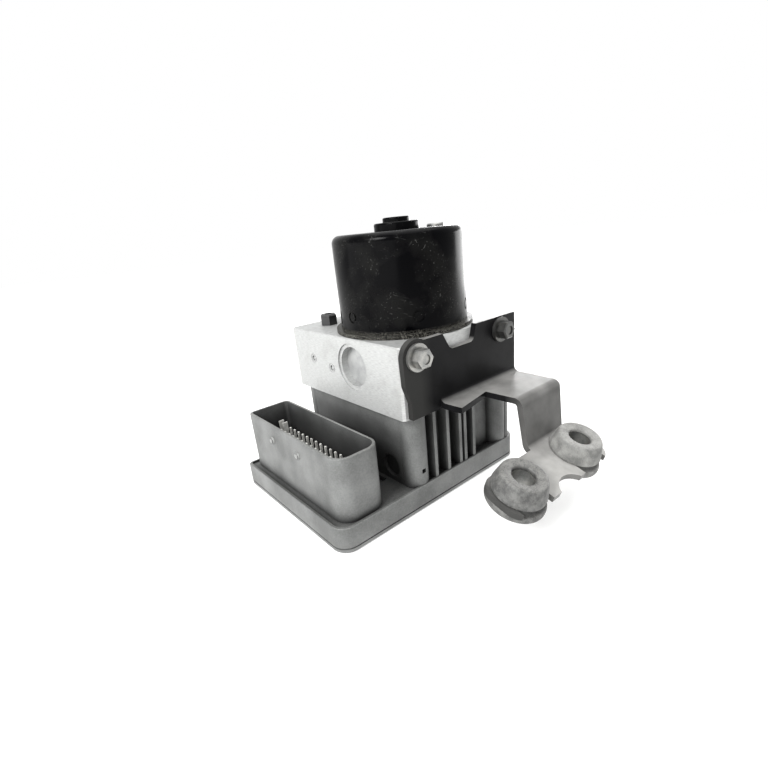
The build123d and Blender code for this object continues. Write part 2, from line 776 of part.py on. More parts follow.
def bracket():
    side = arm_side()
    profile = make_face(Polyline(*[(foot_left, y, z) for y, z in side], close=True))
    bends = [(2, 3.0), (3, 1.5 + sheet), (4, 2.4), (7, 2.4 + sheet), (8, 1.5), (9, 3.0 + sheet)]
    for index, radius in bends:
        y, z = side[index]
        profile = fillet(profile.vertices().sort_by_distance((foot_left, y, z))[0], radius)
    arm = extrude(profile, foot_right - foot_left, dir=(1, 0, 0))
    shelf_left = block_left + 22.0
    strap_left = strap_middle - strap_width / 2
    strap_right = strap_middle + strap_width / 2
    front = foot_point(fold_back - 3.0, 0)[0]
    plan = [(shelf_left, block_front + 1), (shelf_left, plate_face), (shelf_left + 0.8, plate_face - 12.4),
            (strap_left - 0.8, plate_face - 8.0), (strap_left, strap_top_y + 2.0), (strap_left, front),
            (strap_right - 6.0, front), (strap_right, strap_top_y), (plate_right, plate_face),
            (plate_right, block_front + 1)]
    upper = plan_prism(plan, foot_z, shelf_top + 8.0)
    lower = foot_frame * slab(foot_left, foot_right, -foot_reach, fold_back - 1.5, -sheet - 1.0, 1.0, 8.0)
    arm = arm & (upper + lower)
    body = bracket_plate() + arm
    body -= boxed(block_left - 2.0, shelf_left, plate_face - 0.1, block_front, floor_top, shelf_bottom)
    for x in bolt_places:
        body -= rod_y(x, plate_face, block_front, bolt_z, bolt_radius + 0.3)
    for x in grommet_places:
        slot = post(x, 0, -sheet, 0, groove_radius)
        slot += boxed(x - groove_radius, x + groove_radius, -foot_reach - 1, 0, -sheet, 0)
        body -= foot_frame * slot
    middle = (grommet_places[0] + grommet_places[1]) / 2 + 1.0
    body -= foot_frame * post(middle, -foot_reach - 5.0, -sheet, 0, 10.0)
    return body


def bracket_bolts():
    bolts = []
    for x in bolt_places:
        head = extrude(RegularPolygon(4.2, 6, major_radius=False), 5.0)
        head = chamfer(head.faces().sort_by(Axis.Z)[-1].edges(), 0.6)
        head -= post(0, 0, 4.4, 5.0, 2.3)
        bolt = Pos(x, plate_face - 1.4, bolt_z) * Rot(90, 0, 0) * head
        bolt += rod_y(x, plate_face - 1.4, plate_face, bolt_z, 6.6)
        bolt += rod_y(x, plate_face, block_front + bolt_length, bolt_z, bolt_radius)
        bolts.append(bolt)
    return Compound(children=bolts)


def grommet(x):
    points = [(bush_radius, grommet_bottom), (grommet_flange - 1.5, grommet_bottom),
              (grommet_flange, grommet_bottom + 1.5), (grommet_flange, -sheet - 1.0),
              (grommet_flange - 1.0, -sheet),
              (groove_radius, -sheet), (groove_radius, 0), (grommet_radius - 0.8, 0), (grommet_radius, 1.0),
              (grommet_radius - 0.4, grommet_top - 2.0), (grommet_radius - 1.6, grommet_top - 0.4),
              (grommet_radius - 3.0, grommet_top), (grommet_radius - 4.8, grommet_top),
              (bush_radius + 0.6, grommet_top - dish_depth), (bush_radius, grommet_top - dish_depth)]
    return foot_frame * turned(x, 0, points)


def bush(x):
    low = grommet_bottom - 0.5
    high = grommet_top - dish_depth + 0.3
    return foot_frame * (post(x, 0, low, high, bush_radius) - post(x, 0, low, high, bush_bore))


parts = {
    "hydraulic_block": hydraulic_block(),
    "ball_plugs": ball_plugs(),
    "hex_plug": hex_plug(),
    "motor_can": motor_can(),
    "vent_plug": vent_plug(),
    "motor_screws": motor_screws(),
    "field_magnets": field_magnets(),
    "armature_core": armature_core(),
    "armature_windings": armature_windings(),
    "motor_shaft": motor_shaft(),
    "commutator": commutator(),
    "upper_bearing": bearing(bearing_radius, upper_bearing_top - bearing_height),
    "lower_bearing": bearing(lower_bearing_radius, block_top - bearing_height),
    "brush_plate": brush_plate(),
    "brushes": brushes(),
    "brush_springs": brush_springs(),
    "eccentric": eccentric(),
    "eccentric_ring": eccentric_ring(),
    "pump_piston_left": pump_piston(-1),
    "pump_piston_right": pump_piston(1),
    "pump_sleeve_left": pump_sleeve(-1),
    "pump_sleeve_right": pump_sleeve(1),
    "pump_spring_left": pump_spring(-1),
    "pump_spring_right": pump_spring(1),
    "pump_plug_left": pump_plug(-1),
    "pump_plug_right": pump_plug(1),
    "solenoid_valves": solenoid_valves(),
    "solenoid_coils": solenoid_coils(),
    "coil_terminals": coil_terminals(),
    "accumulator_piston_left": accumulator_piston(accumulator_places[0]),
    "accumulator_piston_right": accumulator_piston(accumulator_places[1]),
    "accumulator_spring_left": accumulator_spring(accumulator_places[0]),
    "accumulator_spring_right": accumulator_spring(accumulator_places[1]),
    "accumulator_caps": accumulator_caps(),
    "motor_contact": motor_contact(),
    "ecu_housing": ecu_housing(),
    "housing_seal": seal_ring(),
    "ecu_screws": ecu_screws(),
    "ecu_cover": ecu_cover(),
    "board_stands": board_stands(),
    "circuit_board": circuit_board(),
    "board_parts": board_parts(),
    "connector_pins": connector_pins(),
    "bracket": bracket(),
    "bracket_bolts": bracket_bolts(),
    "grommet_left": grommet(grommet_places[0]),
    "grommet_right": grommet(grommet_places[1]),
    "bush_left": bush(grommet_places[0]),
    "bush_right": bush(grommet_places[1]),
}

os.makedirs("parts", exist_ok=True)
for name, shape in parts.items():
    shape = shape if isinstance(shape, Compound) else Compound(children=[shape])
    export_step(shape, "parts/" + name + ".step")
    print(name, round(shape.volume / 1000, 2), len(shape.solids()))
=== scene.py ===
# Anti-lock brake unit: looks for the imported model. Lengths are in millimetres, but for studio and camera
import json
import math

import bmesh
import bpy
from mathutils import Matrix, Vector


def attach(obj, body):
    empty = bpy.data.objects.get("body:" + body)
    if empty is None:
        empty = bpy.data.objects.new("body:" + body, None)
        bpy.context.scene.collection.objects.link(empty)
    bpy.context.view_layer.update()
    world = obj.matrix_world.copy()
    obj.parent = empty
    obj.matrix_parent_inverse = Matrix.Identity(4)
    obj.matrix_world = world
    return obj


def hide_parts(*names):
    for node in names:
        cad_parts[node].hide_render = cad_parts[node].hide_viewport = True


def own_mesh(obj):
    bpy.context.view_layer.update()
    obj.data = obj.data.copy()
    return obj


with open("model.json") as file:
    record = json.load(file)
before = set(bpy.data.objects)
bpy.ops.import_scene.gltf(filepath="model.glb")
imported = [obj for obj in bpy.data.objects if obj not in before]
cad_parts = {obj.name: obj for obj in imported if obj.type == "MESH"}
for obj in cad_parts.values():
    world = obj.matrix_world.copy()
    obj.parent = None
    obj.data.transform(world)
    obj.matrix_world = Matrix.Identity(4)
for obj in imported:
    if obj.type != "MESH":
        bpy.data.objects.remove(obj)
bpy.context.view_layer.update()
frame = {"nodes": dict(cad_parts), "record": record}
mm = 0.001
maskOff = (0, 0, 0, 1)
maskOn = (1, 1, 1, 1)
print("frame loaded:", len(frame["nodes"]), "nodes")


def linearHex(code):
    channels = []
    for start in (0, 2, 4):
        value = int(code[start:start + 2], 16) / 255
        channels.append(value / 12.92 if value <= 0.04045 else ((value + 0.055) / 1.055) ** 2.4)
    return (*channels, 1.0)


def addNode(tree, kind, settings=None, inputs=None, links=None, stops=None):
    node = tree.nodes.new(kind)
    for name, value in (settings or {}).items():
        setattr(node, name, value)
    for name, value in (inputs or {}).items():
        node.inputs[name].default_value = value
    for name, socket in (links or {}).items():
        tree.links.new(socket, node.inputs[name])
    if stops:  # both ends of a colour ramp
        for element, (position, colour) in zip(node.color_ramp.elements, stops):
            element.position = position
            element.color = colour
    return node


def startMaterial(name, inputs):
    material = bpy.data.materials.new(name)
    material.use_nodes = True
    tree = material.node_tree
    shader = tree.nodes["Principled BSDF"]
    for key, value in inputs.items():
        shader.inputs[key].default_value = value
    place = addNode(tree, "ShaderNodeTexCoord").outputs["Object"]
    return material, tree, shader, place


def useMaterial(material, *names):
    for name in names:
        mesh = frame["nodes"][name].data
        mesh.materials.clear()
        mesh.materials.append(material)


# Milled aluminium: an extruded bar, sawn and fly-cut, so it is bright with faint straight tool lines.
# Real lines are finer: these are as coarse as they need to show, and run about 8 times as long as wide
milledAluminium = {
    "light": "AAABAA", "dark": "949594", "lineStops": (0.3, 0.62), "toolPitch": 0.3,
    "lineStretch": (0.12, 0.12, 1.0), "stain": "82827F", "stainSize": 12.0, "stainStops": (0.5, 0.8),
    "stainMost": 0.5, "metallic": 0.35, "roughness": 0.42, "bump": 0.05, "bumpDepth": 0.05,
}


def makeMilledAluminium():
    v = milledAluminium
    material, tree, shader, place = startMaterial(
        "milled_aluminium", {"Metallic": v["metallic"], "Roughness": v["roughness"]})
    stretch = addNode(tree, "ShaderNodeMapping", inputs={"Scale": v["lineStretch"]},
                      links={"Vector": place})
    lines = addNode(tree, "ShaderNodeTexNoise", inputs={"Scale": 1000 / v["toolPitch"], "Detail": 3.0},
                    links={"Vector": stretch.outputs["Vector"]})
    cloud = addNode(tree, "ShaderNodeTexNoise", links={"Vector": place},
                    inputs={"Scale": 1000 / v["stainSize"], "Detail": 6.0, "Roughness": 0.6})
    cut = addNode(tree, "ShaderNodeValToRGB", links={"Fac": lines.outputs["Fac"]},
                  stops=zip(v["lineStops"], (linearHex(v["dark"]), linearHex(v["light"]))))
    most = v["stainMost"]
    patch = addNode(tree, "ShaderNodeValToRGB", links={"Fac": cloud.outputs["Fac"]},
                    stops=zip(v["stainStops"], (maskOff, (most, most, most, 1))))
    mixed = addNode(tree, "ShaderNodeMix", {"data_type": "RGBA"}, {"B": linearHex(v["stain"])},
                    {"Factor": patch.outputs["Color"], "A": cut.outputs["Color"]})
    tree.links.new(mixed.outputs["Result"], shader.inputs["Base Color"])
    bump = addNode(tree, "ShaderNodeBump", inputs={"Strength": v["bump"], "Distance": v["bumpDepth"] * mm},
                   links={"Height": lines.outputs["Fac"]})
    tree.links.new(bump.outputs["Normal"], shader.inputs["Normal"])
    return material


# Black stoving enamel on deep-drawn steel: deep and glossy, hazed by handling in patches, with hair
# scratches, pale chips and grime by the flange. The scratches are as wide as they need to show
canEnamel = {
    "black": "010102", "haze": "151514", "scuff": "3A3A39", "chip": "6E6E6B", "grimeAndShade": "84827A",
    "specular": 0.045, "roughness": 0.17, "smudge": 0.3, "smudgeStops": (0.35, 0.7),
    "patchSize": 17.0, "patchStops": (0.46, 0.6),
    "scratchWidth": 0.11, "scratchLength": 7.0, "scratchStops": (0.715, 0.735),
    "scratchTurns": ((0.0, 0.3, -0.73), (0.0, -0.9, -0.6)),
    "chipSpacing": 2.0, "chipSize": 0.12,
    "flangeTop": 89.1, "grimeHeight": 1.6, "grimeMost": 0.75, "grimeGrain": 0.5, "grimeStops": (0.5, 0.62),
    "bump": 0.35, "bumpDepth": 0.1,
}


def hairMask(tree, place, turn):
    v = canEnamel
    stretched = addNode(tree, "ShaderNodeMapping", {"vector_type": "TEXTURE"},
                        {"Rotation": turn, "Scale": (v["scratchLength"] / v["scratchWidth"], 1.0, 1.0)},
                        {"Vector": place})
    cell = 4 * v["scratchWidth"]  # only the noise's peaks are scratches
    hair = addNode(tree, "ShaderNodeTexNoise", inputs={"Scale": 1000 / cell, "Detail": 1.0},
                   links={"Vector": stretched.outputs["Vector"]})
    mask = addNode(tree, "ShaderNodeValToRGB", links={"Fac": hair.outputs["Fac"]},
                   stops=zip(v["scratchStops"], (maskOff, maskOn)))
    return mask.outputs["Color"]


def makeCanEnamel():
    v = canEnamel
    material, tree, shader, place = startMaterial(
        "black_stoving_enamel", {"Specular IOR Level": v["specular"]})
    patches = addNode(tree, "ShaderNodeTexNoise", inputs={"Scale": 1000 / v["patchSize"], "Detail": 4.0},
                      links={"Vector": place})
    worn = addNode(tree, "ShaderNodeValToRGB", links={"Fac": patches.outputs["Fac"]},
                   stops=zip(v["patchStops"], (maskOff, maskOn))).outputs["Color"]

    hairs = addNode(tree, "ShaderNodeMath", {"operation": "MAXIMUM"},
                    links={i: hairMask(tree, place, turn) for i, turn in enumerate(v["scratchTurns"])})
    scratches = addNode(tree, "ShaderNodeMath", {"operation": "MULTIPLY"},
                        links={0: hairs.outputs[0], 1: worn})
    cells = addNode(tree, "ShaderNodeTexVoronoi", inputs={"Scale": 1000 / v["chipSpacing"]},
                    links={"Vector": place})
    dots = addNode(tree, "ShaderNodeMath", {"operation": "LESS_THAN"},
                   {1: v["chipSize"] / v["chipSpacing"]}, {0: cells.outputs["Distance"]})
    chips = addNode(tree, "ShaderNodeMath", {"operation": "MULTIPLY"}, links={0: dots.outputs[0], 1: worn})

    height = addNode(tree, "ShaderNodeSeparateXYZ", links={"Vector": place})
    low = addNode(tree, "ShaderNodeMapRange", links={"Value": height.outputs["Z"]}, inputs={
        "From Min": v["flangeTop"] * mm, "From Max": (v["flangeTop"] + v["grimeHeight"]) * mm,
        "To Min": v["grimeMost"], "To Max": 0.0})
    grit = addNode(tree, "ShaderNodeTexNoise", links={"Vector": place},
                   inputs={"Scale": 1000 / v["grimeGrain"], "Detail": 6.0, "Roughness": 0.75})
    crumbs = addNode(tree, "ShaderNodeValToRGB", links={"Fac": grit.outputs["Fac"]},
                     stops=zip(v["grimeStops"], (maskOff, maskOn)))
    grimeAndShade = addNode(tree, "ShaderNodeMath", {"operation": "MULTIPLY"},
                    links={0: low.outputs["Result"], 1: crumbs.outputs["Color"]})
    smear = addNode(tree, "ShaderNodeMath", {"operation": "MULTIPLY"},
                    links={0: worn, 1: grit.outputs["Fac"]})

    colour = None
    for mask, code in ((smear, "haze"), (scratches, "scuff"), (chips, "chip"), (grimeAndShade, "grimeAndShade")):
        under = {"A": colour} if colour else {}
        layer = addNode(tree, "ShaderNodeMix", {"data_type": "RGBA"},
                        {"A": linearHex(v["black"]), "B": linearHex(v[code])},
                        {"Factor": mask.outputs[0], **under})
        colour = layer.outputs["Result"]
    tree.links.new(colour, shader.inputs["Base Color"])
    gloss = addNode(tree, "ShaderNodeMapRange", links={"Value": patches.outputs["Fac"]}, inputs={
        "From Min": v["smudgeStops"][0], "From Max": v["smudgeStops"][1],
        "To Min": v["roughness"], "To Max": v["smudge"]})
    dull = addNode(tree, "ShaderNodeMath", {"operation": "ADD"},
                   links={0: gloss.outputs["Result"], 1: grimeAndShade.outputs[0]})
    tree.links.new(dull.outputs[0], shader.inputs["Roughness"])
    bump = addNode(tree, "ShaderNodeBump", inputs={"Strength": v["bump"], "Distance": v["bumpDepth"] * mm},
                   links={"Height": grimeAndShade.outputs[0]})
    tree.links.new(bump.outputs["Normal"], shader.inputs["Normal"])
    return material


# Matt finishes differ in colour, grain, dirt and painted shade. Each gives its own values and takes the
# rest from here.
# The real grain is finer, it is drawn as coarse as it needs to show
mattFinish = {
    "metallic": 0.0, "specular": 0.5, "bumpDepth": 0.08,
    "speckle": 0.4, "shadeStops": (0.34, 0.66),  # the grain's share in the tone, and the tone's ends
    "dustAndTopLightAmount": 0.0, "dustAndTopLightSlope": 0.35, "speckStops": (0.3, 0.65), "evenness": 0.0,
    "outerDirtAndLight": None, "outerDirtAndLightUpright": 0.45, "outerDirtAndLightLying": 0.9,  # near Y, far Y, amount
    # painted shade: an occlusion mask darkens recesses and creases, as shade would fall there
    "grimeAndShade": None, "shelterStops": (0.32, 0.9),  # colour, reach, amount
    # painted shade: a round spot blackened where a hollow lies in shadow
    "shadedHollow": None, "shadedHollowEdge": 0.6,  # centre, radius
    "darkerAlongX": None,  # colour, near X, far X, amount
}


# Pale dust on up-facing faces; on the bracket it also paints the light that falls on its tops from above
def dustAndTopLightMask(tree, v, place, grain, cloud):
    facing = addNode(tree, "ShaderNodeNewGeometry")
    turned = addNode(tree, "ShaderNodeSeparateXYZ", links={"Vector": facing.outputs["Normal"]})
    slope = turned.outputs["Z"]
    upwardShare = addNode(tree, "ShaderNodeMapRange", links={"Value": slope}, inputs={
        "From Min": v["dustAndTopLightSlope"], "From Max": 1.0, "To Max": v["dustAndTopLightAmount"]}).outputs["Result"]
    if v["outerDirtAndLight"]:  # partly road dirt on the outer parts, partly painted light: paler towards the outer end and on lying faces, less where they stand upright
        near, far, amount = v["outerDirtAndLight"]
        where = addNode(tree, "ShaderNodeSeparateXYZ", links={"Vector": place})
        outwardShare = addNode(tree, "ShaderNodeMapRange", links={"Value": where.outputs["Y"]}, inputs={
            "From Min": near * mm, "From Max": far * mm, "To Max": amount})
        lying = addNode(tree, "ShaderNodeMapRange", links={"Value": slope}, inputs={
            "From Max": v["outerDirtAndLightLying"], "To Min": v["outerDirtAndLightUpright"]})
        outwardDirtAndLight = addNode(tree, "ShaderNodeMath", {"operation": "MULTIPLY"},
                         links={0: outwardShare.outputs["Result"], 1: lying.outputs["Result"]})
        upwardShare = addNode(tree, "ShaderNodeMath", {"operation": "MAXIMUM"},
                          links={0: upwardShare, 1: outwardDirtAndLight.outputs[0]}).outputs[0]
    speck = addNode(tree, "ShaderNodeMapRange", links={"Value": cloud if v["evenness"] else grain}, inputs={
        "From Min": v["speckStops"][0], "From Max": v["speckStops"][1], "To Min": v["evenness"]})
    dustAndTopLight = addNode(tree, "ShaderNodeMath", {"operation": "MULTIPLY"},
                   links={0: upwardShare, 1: speck.outputs["Result"]})
    return dustAndTopLight.outputs[0]


# Painted shade: ambient occlusion over the piece itself darkens its recesses, creases and pockets towards a
# near-black colour, as shade would
def recessShadeMask(tree, v, place):
    reach, most = v["grimeAndShade"][1:]
    shelter = addNode(tree, "ShaderNodeAmbientOcclusion", {"samples": 8, "only_local": True},
                      {"Distance": reach * mm})
    shadeShare = addNode(tree, "ShaderNodeMapRange", links={"Value": shelter.outputs["AO"]}, inputs={
        "From Min": v["shelterStops"][0], "From Max": v["shelterStops"][1],
        "To Min": most, "To Max": 0.0}).outputs["Result"]
    # painted shade: a round patch is blackened where a hollow lies in shadow
    if v["shadedHollow"]:
        centre, radius = v["shadedHollow"]
        away = addNode(tree, "ShaderNodeVectorMath", {"operation": "DISTANCE"},
                       {1: [c * mm for c in centre]}, {0: place})
        shadedHollow = addNode(tree, "ShaderNodeMapRange", links={"Value": away.outputs["Value"]}, inputs={
            "From Min": (radius - v["shadedHollowEdge"]) * mm, "From Max": radius * mm,
            "To Min": 1.0, "To Max": 0.0})
        shadeShare = addNode(tree, "ShaderNodeMath", {"operation": "MAXIMUM"},
                        links={0: shadeShare, 1: shadedHollow.outputs["Result"]}).outputs[0]
    return shadeShare


# Darkens the colour along X between two given points
def darkerAlongXMask(tree, v, place):
    near, far, most = v["darkerAlongX"][1:]
    along = addNode(tree, "ShaderNodeSeparateXYZ", links={"Vector": place})
    darkerShare = addNode(tree, "ShaderNodeMapRange", links={"Value": along.outputs["X"]}, inputs={
        "From Min": near * mm, "From Max": far * mm, "To Max": most})
    return darkerShare.outputs["Result"]


def makeMatt(name, finish):
    v = {**mattFinish, **finish}
    material, tree, shader, place = startMaterial(name, {
        "Roughness": v["roughness"], "Metallic": v["metallic"], "Specular IOR Level": v["specular"]})
    grain = addNode(tree, "ShaderNodeTexNoise", links={"Vector": place},
                    inputs={"Scale": 1000 / v["grain"], "Detail": 4.0, "Roughness": 0.6}).outputs["Fac"]
    cloud = addNode(tree, "ShaderNodeTexNoise", links={"Vector": place},
                    inputs={"Scale": 1000 / v["cloud"], "Detail": 5.0}).outputs["Fac"]
    tone = addNode(tree, "ShaderNodeMath", {"operation": "MULTIPLY_ADD"}, {1: v["speckle"]},
                   {0: grain, 2: cloud})
    ends = [stop + v["speckle"] / 2 for stop in v["shadeStops"]]
    base = addNode(tree, "ShaderNodeValToRGB", links={"Fac": tone.outputs[0]},
                   stops=zip(ends, (linearHex(v["dark"]), linearHex(v["light"]))))
    layers = []
    if v["dustAndTopLightAmount"]:
        layers.append((dustAndTopLightMask(tree, v, place, grain, cloud), v["dustAndTopLight"]))
    if v["grimeAndShade"]:
        layers.append((recessShadeMask(tree, v, place), v["grimeAndShade"][0]))
    if v["darkerAlongX"]:
        layers.append((darkerAlongXMask(tree, v, place), v["darkerAlongX"][0]))
    colour = base.outputs["Color"]
    for mask, code in layers:
        layer = addNode(tree, "ShaderNodeMix", {"data_type": "RGBA"}, {"B": linearHex(code)},
                        {"Factor": mask, "A": colour})
        colour = layer.outputs["Result"]
    tree.links.new(colour, shader.inputs["Base Color"])
    bump = addNode(tree, "ShaderNodeBump", inputs={"Strength": v["bump"], "Distance": v["bumpDepth"] * mm},
                   links={"Height": grain})
    tree.links.new(bump.outputs["Normal"], shader.inputs["Normal"])
    return material


useMaterial(makeMilledAluminium(), "hydraulic_block", "ball_plugs")
useMaterial(makeCanEnamel(), "motor_can")

# Glass-filled PBT, moulded: a dull grey skin with a fine pebble and pale dust, with painted shade darkening
# every recess
housingPlastic = {
    "dark": "525352", "light": "6E6F6E", "grain": 0.8, "cloud": 20.0, "roughness": 0.55, "bump": 0.2,
    "specular": 0.3, "dustAndTopLight": "82827F", "dustAndTopLightAmount": 0.35, "grimeAndShade": ("1A1A1A", 36.0, 0.96),
    "shadedHollow": ((-17.0, -30.5, 21.0), 6.15),  # painted shade: the round recess beside the collar is painted black for the shadow in it
}
useMaterial(makeMatt("glass_filled_plastic", housingPlastic), "ecu_housing")

# The collar's knobs are the same plastic in a paler, smoother copy
knobPlastic = {
    "dark": "6C6D6C", "light": "868785", "grain": 0.5, "cloud": 4.0, "roughness": 0.35, "bump": 0.1,
    "dustAndTopLight": "90908D", "dustAndTopLightAmount": 0.2,
}
palerKnobPlastic = makeMatt("pale_knob_plastic", knobPlastic)

# The cover is the same plastic, vibration-welded on, a shade darker
coverPlastic = {
    "dark": "545554", "light": "6C6D6C", "grain": 0.5, "cloud": 20.0, "roughness": 0.5, "bump": 0.15,
    "dustAndTopLight": "72726F", "dustAndTopLightAmount": 0.2,
}
useMaterial(makeMatt("welded_cover_plastic", coverPlastic), "ecu_cover")

# Electrocoat on pressed steel: thin, satin black. Pale dust and road dirt on the shelf, the foot and the
# strap also paint the light falling on their up-facing faces; painted shade darkens the creases
bracketCoat = {
    "dark": "0A0A0B", "light": "141415", "grain": 0.4, "cloud": 14.0, "roughness": 0.36, "bump": 0.1,
    "specular": 0.07, "dustAndTopLight": "A9A8A5", "dustAndTopLightAmount": 0.48, "evenness": 0.6,
    "outerDirtAndLight": (-70.0, -93.0, 0.95),
    "grimeAndShade": ("121212", 6.0, 0.7),
    "darkerAlongX": ("2B2B2A", -5.0, -13.0, 0.85),  # darker towards the foot's near end
}
useMaterial(makeMatt("bracket_electrocoat", bracketCoat), "bracket")

# Natural rubber, aged: the near grommet is darker, the far one a paler grey; painted shade darkens their
# grooves
darkerRubber = {
    "dark": "3A3A39", "light": "5E5E5C", "grain": 0.6, "cloud": 3.0, "roughness": 0.6, "bump": 0.5,
    "speckle": 0.5, "dustAndTopLight": "807F7B", "dustAndTopLightAmount": 0.5, "grimeAndShade": ("161616", 5.0, 0.9),
}
palerRubber = {
    "dark": "5A5A58", "light": "80807D", "grain": 0.6, "cloud": 5.0, "roughness": 0.75, "bump": 0.35,
    "dustAndTopLight": "8E8D8A", "dustAndTopLightAmount": 0.5, "grimeAndShade": ("1C1C1C", 5.0, 0.9),
}
rubbers = {"left": makeMatt("darker_natural_rubber", darkerRubber),
           "right": makeMatt("paler_natural_rubber", palerRubber)}
useMaterial(rubbers["left"], "grommet_left", "housing_seal")
useMaterial(rubbers["right"], "grommet_right")

# Zinc-plated steel: grey, lightly clouded with white corrosion, half gloss, with painted shade in its
# recesses
zincPlate = {
    "dark": "7A7B7A", "light": "A09F9B", "grain": 0.6, "cloud": 4.0, "roughness": 0.32, "bump": 0.12,
    "metallic": 0.8, "speckle": 0.3, "dustAndTopLight": "A8A7A3", "dustAndTopLightAmount": 0.25, "grimeAndShade": ("2A2A29", 2.5, 0.7),
}
useMaterial(makeMatt("zinc_plated_steel", zincPlate), "motor_screws", "ecu_screws", "bush_left",
            "bush_right", "vent_plug")

# The same plate on the bracket's bolts, the far one darkened by position: painted shade
shadedZinc = {**zincPlate, "darkerAlongX": ("2E2E2D", 20.0, 30.0, 0.8)}
useMaterial(makeMatt("shaded_zinc_plate", shadedZinc), "bracket_bolts")

# Black nylon, moulded: dark with a soft sheen
blackNylon = {
    "dark": "151516", "light": "222223", "grain": 0.5, "cloud": 6.0, "roughness": 0.45, "bump": 0.15,
    "dustAndTopLight": "5F5F5D", "dustAndTopLightAmount": 0.25,
}
useMaterial(makeMatt("black_nylon", blackNylon), "hex_plug", "brush_plate", "solenoid_coils",
            "board_parts")

# Ground steel of shafts, pistons and rings, and drawn spring wire: bright and smooth
groundSteel = {
    "dark": "9A9B9C", "light": "B9BABB", "grain": 0.4, "cloud": 5.0, "roughness": 0.22, "bump": 0.05,
    "metallic": 1.0,
}
steel = makeMatt("ground_steel", groundSteel)
useMaterial(steel, "motor_shaft", "armature_core", "eccentric", "eccentric_ring", "upper_bearing",
            "lower_bearing", "brush_springs", "solenoid_valves")
for side in ("left", "right"):
    useMaterial(steel, "pump_sleeve_" + side, "pump_piston_" + side, "pump_spring_" + side,
                "accumulator_piston_" + side, "accumulator_spring_" + side)

# Turned aluminium of the pump plugs: pale, a little duller than the block
turnedAluminium = {
    "dark": "8E8F8F", "light": "A5A6A5", "grain": 0.5, "cloud": 6.0, "roughness": 0.4, "bump": 0.1,
    "metallic": 0.5,
}
useMaterial(makeMatt("turned_aluminium", turnedAluminium), "pump_plug_left", "pump_plug_right",
            "accumulator_caps")

# Tinned bronze contacts: near white, softly shining
tinnedBronze = {
    "dark": "CFCEC9", "light": "EEEDE8", "grain": 0.4, "cloud": 3.0, "roughness": 0.35, "bump": 0.05,
    "metallic": 0.4,
}
useMaterial(makeMatt("tinned_bronze", tinnedBronze), "connector_pins", "coil_terminals", "motor_contact")

# Enamelled copper wire, wound: warm, half gloss, with a rough lay
windingCopper = {
    "dark": "8A4A2A", "light": "B86A3E", "grain": 0.6, "cloud": 3.0, "roughness": 0.35, "bump": 0.5,
    "metallic": 0.7,
}
useMaterial(makeMatt("enamelled_copper", windingCopper), "armature_windings", "commutator")

# Sintered ferrite and pressed carbon: dark grey, fine and dull
ferrite = {
    "dark": "232326", "light": "323235", "grain": 0.4, "cloud": 5.0, "roughness": 0.6, "bump": 0.2,
}
useMaterial(makeMatt("sintered_ferrite", ferrite), "field_magnets", "brushes")

# Glass-fibre board under green solder mask
boardLaminate = {
    "dark": "0D3B1F", "light": "16512C", "grain": 1.2, "cloud": 4.0, "roughness": 0.35, "bump": 0.1,
}
useMaterial(makeMatt("board_laminate", boardLaminate), "circuit_board", "board_stands")
print("materials on the packed nodes")


def linkPiece(name, bm, material):
    mesh = bpy.data.meshes.new(name)
    bm.to_mesh(mesh)
    bm.free()
    mesh.materials.append(material)
    piece = bpy.data.objects.new(name, mesh)
    bpy.context.scene.collection.objects.link(piece)
    return piece


def turnUpTo(axis):
    return Vector((0, 0, 1)).rotation_difference(Vector(axis)).to_matrix().to_4x4()


# Rubber grommets: a half section spun about the stud bush, then softened. The section's points are radius
# and height over the upper face of the bracket's foot
grommet = {
    "section": (
        (6.0, -6.6), (12.2, -6.6), (13.5, -6.1), (13.8, -5.4), (13.8, -3.9), (13.4, -3.1),  # lower bead
        (12.6, -3.0), (10.0, -3.0), (10.0, 0.0), (11.8, 0.0),  # groove that holds the sheet
        (12.5, 0.3), (12.6, 1.0), (12.4, 2.2), (10.9, 7.6), (10.6, 8.5), (10.0, 9.2),  # upper cone
        (9.2, 9.4), (6.8, 8.9), (5.8, 8.7), (5.3, 8.1), (5.3, 6.8), (6.0, 6.8), (6.0, 6.4),  # crown and lip
    ),
    "boreMiddle": -0.2, "steps": 40, "softness": 2, "weld": 0.01,
}
mounts = {mount["name"]: mount for mount in frame["record"]["mounts"]}


def spinGrommet(side):
    v = grommet
    mount = mounts["bush_bore_" + side]
    bm = bmesh.new()
    ring = [bm.verts.new((radius * mm, 0, (height - v["boreMiddle"]) * mm))
            for radius, height in v["section"]]
    edges = [bm.edges.new((ring[i - 1], ring[i])) for i in range(len(ring))]
    bmesh.ops.spin(bm, geom=ring + edges, cent=(0, 0, 0), axis=(0, 0, 1), angle=math.tau,
                   steps=v["steps"], use_merge=True)
    bmesh.ops.remove_doubles(bm, verts=bm.verts, dist=v["weld"] * mm)
    bmesh.ops.recalc_face_normals(bm, faces=bm.faces)
    bmesh.ops.transform(bm, matrix=Matrix.Translation(mount["pos_m"]) @ turnUpTo(mount["axis"]),
                        verts=bm.verts)
    for face in bm.faces:
        face.smooth = True
    piece = linkPiece("rubber_grommet_" + side, bm, rubbers[side])
    soft = piece.modifiers.new("soft", "SUBSURF")
    soft.levels = v["softness"]
    soft.render_levels = v["softness"]
    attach(piece, "unit")
    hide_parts("grommet_" + side)


for side in ("left", "right"):
    spinGrommet(side)
print("rubber grommets spun")

# Two round knobs on the collar's outer wall, each a little dome over its moulded stud
collarKnobs = {
    "wall": -60.0, "height": 36.4, "across": (17.0, -9.6), "radius": 2.0, "sunk": 0.4, "cutDepth": 0.05,
    "segments": 24, "weld": 0.001,
}


